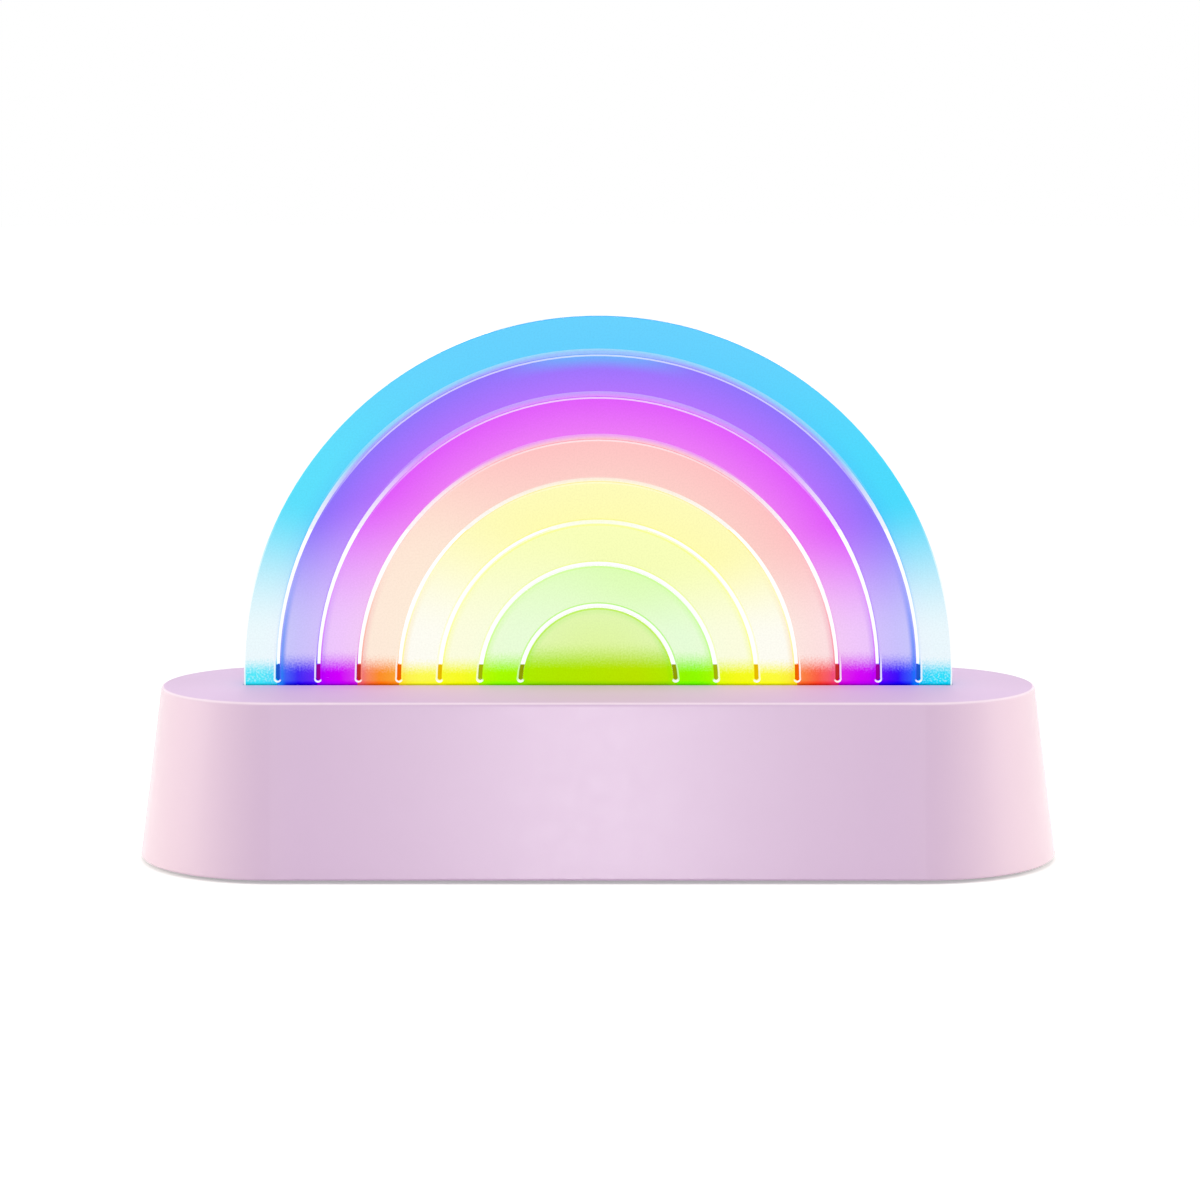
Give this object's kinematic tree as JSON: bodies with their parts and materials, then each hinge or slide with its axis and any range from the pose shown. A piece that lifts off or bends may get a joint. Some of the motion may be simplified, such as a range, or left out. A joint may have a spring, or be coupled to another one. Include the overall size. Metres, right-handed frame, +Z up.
{
  "type": "rainbow lamp",
  "caption": "Night lamp: an upright acrylic arch cut into concentric bands stands in a tapered oblong base that lights it from below, with push buttons at the back.",
  "frame": {"origin": "middle of the footprint, on the surface the lamp stands on", "axes": "+Z up, +X along the lamp to its right as seen from the front, front towards -Y, buttons and inlet towards +Y"},
  "size_m": [0.2598, 0.0798, 0.1534],
  "materials": {
    "casing": "fine matte, lilac pink",
    "acrylic": "frosted acrylic, lit in rainbow bands from below",
    "button": "satin",
    "rubber": "matte",
    "steel": "plated",
    "white_plastic": "satin",
    "black_plastic": "matte",
    "circuit_board": "green solder mask",
    "diode": "white package, clear resin",
    "wire": "satin insulation",
    "cell_sleeve": "shrink sleeve"
  },
  "bodies": {
    "base": {"base_shell": "casing", "base_cover": "casing", "rubber_feet": "rubber", "base_screws": "steel", "rainbow_panel": "acrylic", "panel_clamp_front": "white_plastic", "panel_clamp_rear": "white_plastic", "clamp_screws": "steel", "light_baffle": "white_plastic", "led_board": "circuit_board", "led_packages": "diode", "led_board_screws": "steel", "control_board": "circuit_board", "control_board_screws": "steel", "controller_chip": "black_plastic", "charger_chip": "black_plastic", "power_inductor": "black_plastic", "filter_capacitor": "black_plastic", "board_resistors": "black_plastic", "usb_socket": "steel", "usb_insulator": "black_plastic", "switch_bodies": "black_plastic", "lead_sockets": "white_plastic", "lead_plugs": "white_plastic", "led_lead": "wire", "battery_lead": "wire", "battery_cell": "cell_sleeve", "battery_strap": "white_plastic", "strap_screws": "steel"},
    "power_button": {"power_button": "button", "power_plunger": "white_plastic"},
    "mode_button": {"mode_button": "button", "mode_plunger": "white_plastic"}
  },
  "joints": [
    {"name": "power_press", "type": "slide", "parent": "base", "child": "power_button", "axis": [0, -1, 0], "range_m": [0, 0.0005], "stiffness_N_per_m": 1000, "springref_m": -0.0006},
    {"name": "mode_press", "type": "slide", "parent": "base", "child": "mode_button", "axis": [0, -1, 0], "range_m": [0, 0.0005], "stiffness_N_per_m": 1000, "springref_m": -0.0006}
  ]
}
